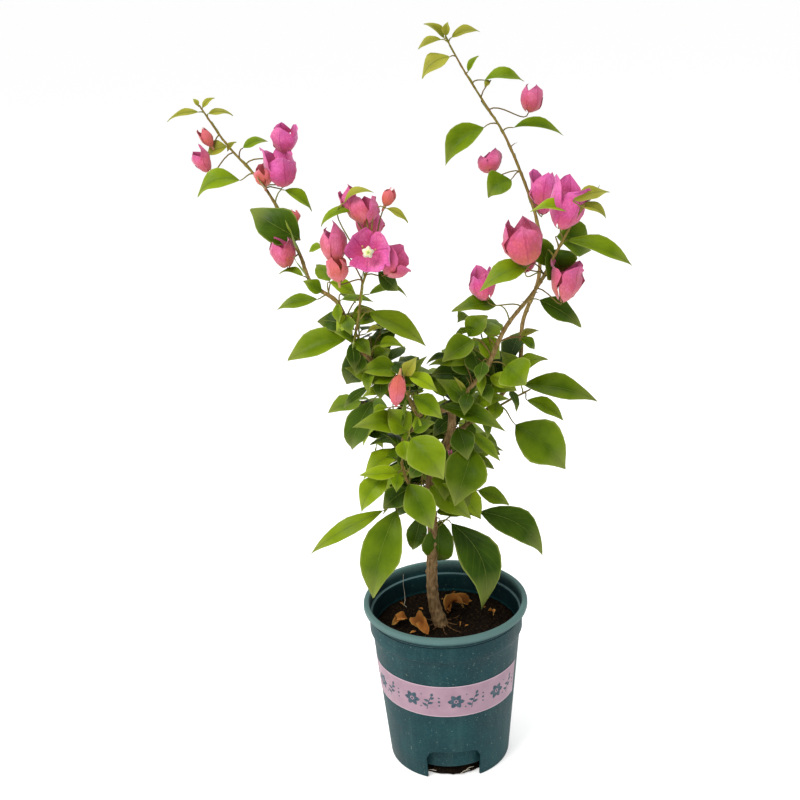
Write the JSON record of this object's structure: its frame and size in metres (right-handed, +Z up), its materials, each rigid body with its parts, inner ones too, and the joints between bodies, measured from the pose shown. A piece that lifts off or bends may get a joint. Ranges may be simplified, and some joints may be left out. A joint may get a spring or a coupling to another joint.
{
  "type": "potted bougainvillea bush",
  "caption": "Young flowering bougainvillea with a woody trunk, arching canes, broad leaves and papery magenta bracts, standing in a dark teal nursery pot on arched feet.",
  "frame": {"origin": "on the surface the pot stands on, under the middle of the whole plant's bounding box; the pot's own axis is at x = 0.035 m, y = -0.034 m", "axes": "+Z up the plant, +X to the right and -Y towards the viewer when the plant is seen from the front"},
  "size_m": [0.414, 0.2776, 0.7257],
  "materials": {
    "pot_plastic": "satin",
    "band_film": "satin",
    "soil": "matte",
    "bark": "matte",
    "green_cane": "satin",
    "leaf": "satin",
    "leaf_dark": "satin",
    "leaf_bright": "satin",
    "leaf_young": "satin",
    "bract_magenta": "matte",
    "bract_pink": "matte",
    "bract_salmon": "matte",
    "star_flower": "matte",
    "dry_leaf": "matte"
  },
  "bodies": {
    "root": {"pot": "pot_plastic", "label_band": "band_film", "soil": "soil", "trunk": "bark", "left_bough": "bark", "left_cane": "green_cane", "left_flower_shoot": "green_cane", "right_bough": "bark", "tall_cane_lower": "bark", "tall_cane_upper": "green_cane", "short_shoot": "green_cane", "bud_shoot": "green_cane", "right_twig": "green_cane", "back_shoot": "green_cane", "back_twig": "green_cane", "left_tip_leaves": "leaf", "left_top_bracts": "bract_magenta", "left_middle_leaves": "leaf", "left_flower_bracts": "bract_magenta", "left_joint_leaves": "leaf", "left_shoulder_leaves": "leaf", "left_inner_leaves": "leaf", "bud_leaves": "leaf", "short_shoot_leaves": "leaf", "centre_leaves": "leaf", "low_leaves": "leaf", "right_shoulder_leaves": "leaf", "right_twig_leaves": "leaf", "tall_cane_foot_leaves": "leaf", "right_middle_leaves": "leaf", "right_flower_bracts": "bract_magenta", "right_tip_leaves": "leaf", "tall_cane_middle_leaves": "leaf", "tall_cane_high_leaves": "leaf", "tall_cane_top_leaves": "leaf", "back_shoot_leaves": "leaf", "back_twig_leaves": "leaf"}
  },
  "joints": []
}
